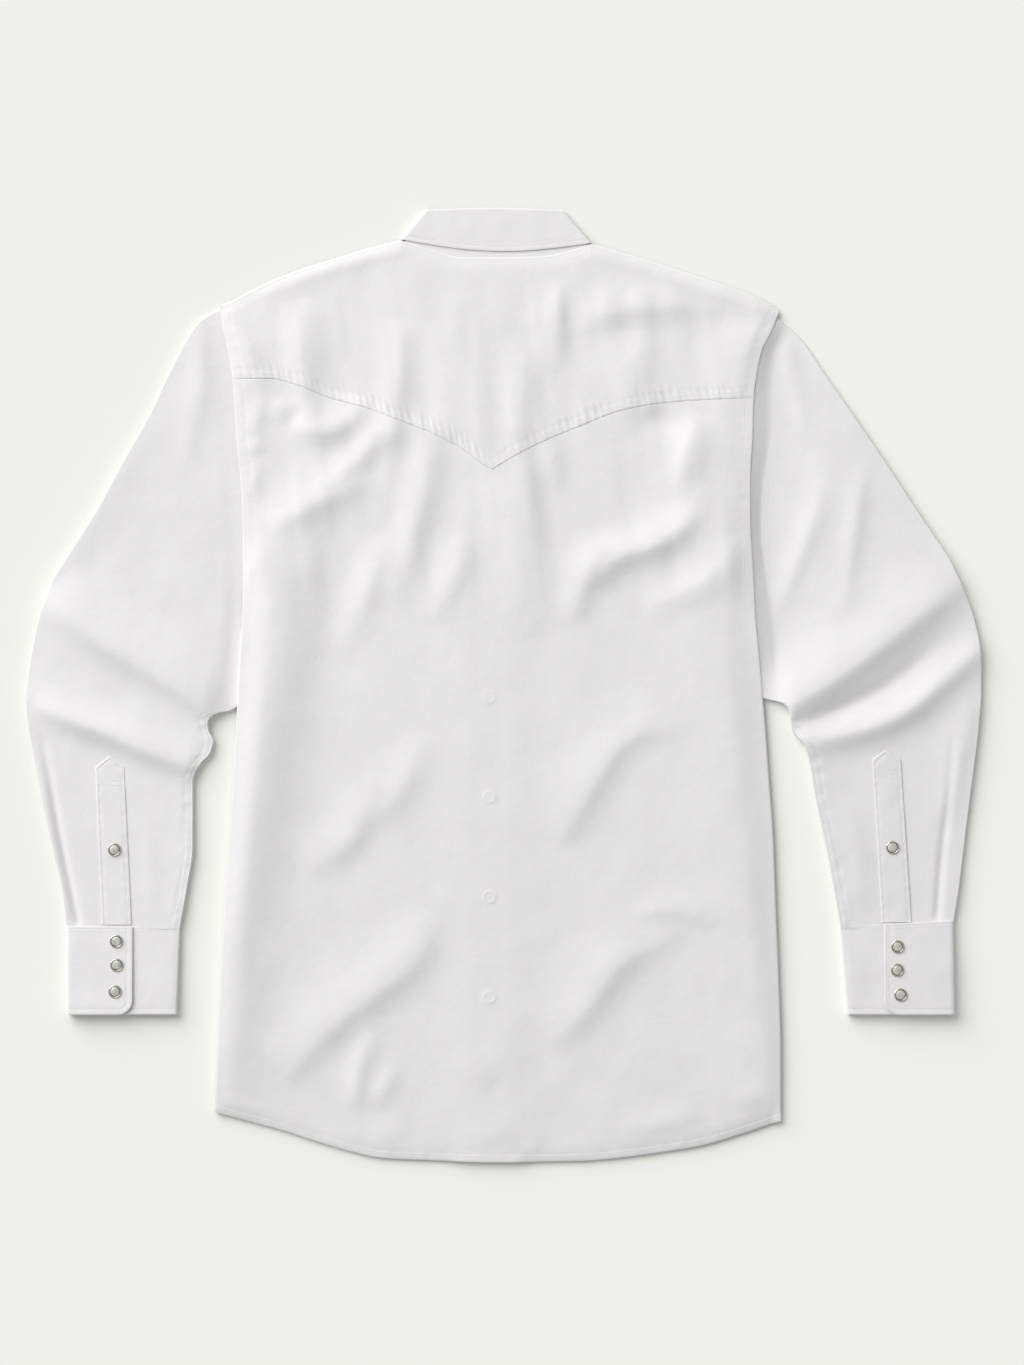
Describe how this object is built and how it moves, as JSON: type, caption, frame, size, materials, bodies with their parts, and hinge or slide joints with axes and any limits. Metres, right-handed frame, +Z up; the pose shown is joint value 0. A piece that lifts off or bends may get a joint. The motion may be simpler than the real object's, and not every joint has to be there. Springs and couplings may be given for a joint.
{
  "type": "western snap shirt",
  "caption": "Long-sleeved white cotton shirt laid flat with its back up, with a pointed back yoke, a shirt-tail hem, pointed sleeve plackets and pearl snap cuffs.",
  "frame": {"origin": "middle of the shirt's box on the surface it lies on", "axes": "+Z up out of the surface, +Y towards the collar, +X to the right when the back is seen from above"},
  "size_m": [0.889, 0.8876, 0.0157],
  "materials": {
    "white_twill": "white cotton twill, soft and matt",
    "pearl": "domed pearl cap, glossy and a little cloudy",
    "snap_metal": "pale polished metal rim"
  },
  "bodies": {
    "root": {"left_sleeve": "white_twill", "right_sleeve": "white_twill", "left_front": "white_twill", "right_front": "white_twill", "front_placket": "white_twill", "collar_leaf": "white_twill", "collar_stand": "white_twill", "back_panel": "white_twill", "back_yoke": "white_twill", "left_sleeve_placket": "white_twill", "left_cuff": "white_twill", "right_sleeve_placket": "white_twill", "right_cuff": "white_twill", "left_placket_snap_rim": "snap_metal", "left_placket_snap_pearl": "pearl", "left_cuff_snap_1_rim": "snap_metal", "left_cuff_snap_1_pearl": "pearl", "left_cuff_snap_2_rim": "snap_metal", "left_cuff_snap_2_pearl": "pearl", "left_cuff_snap_3_rim": "snap_metal", "left_cuff_snap_3_pearl": "pearl", "right_placket_snap_rim": "snap_metal", "right_placket_snap_pearl": "pearl", "right_cuff_snap_1_rim": "snap_metal", "right_cuff_snap_1_pearl": "pearl", "right_cuff_snap_2_rim": "snap_metal", "right_cuff_snap_2_pearl": "pearl", "right_cuff_snap_3_rim": "snap_metal", "right_cuff_snap_3_pearl": "pearl", "front_snap_1": "snap_metal", "front_snap_2": "snap_metal", "front_snap_3": "snap_metal", "front_snap_4": "snap_metal", "front_snap_5": "snap_metal", "front_snap_6": "snap_metal", "front_snap_7": "snap_metal", "front_snap_8": "snap_metal"}
  },
  "joints": []
}
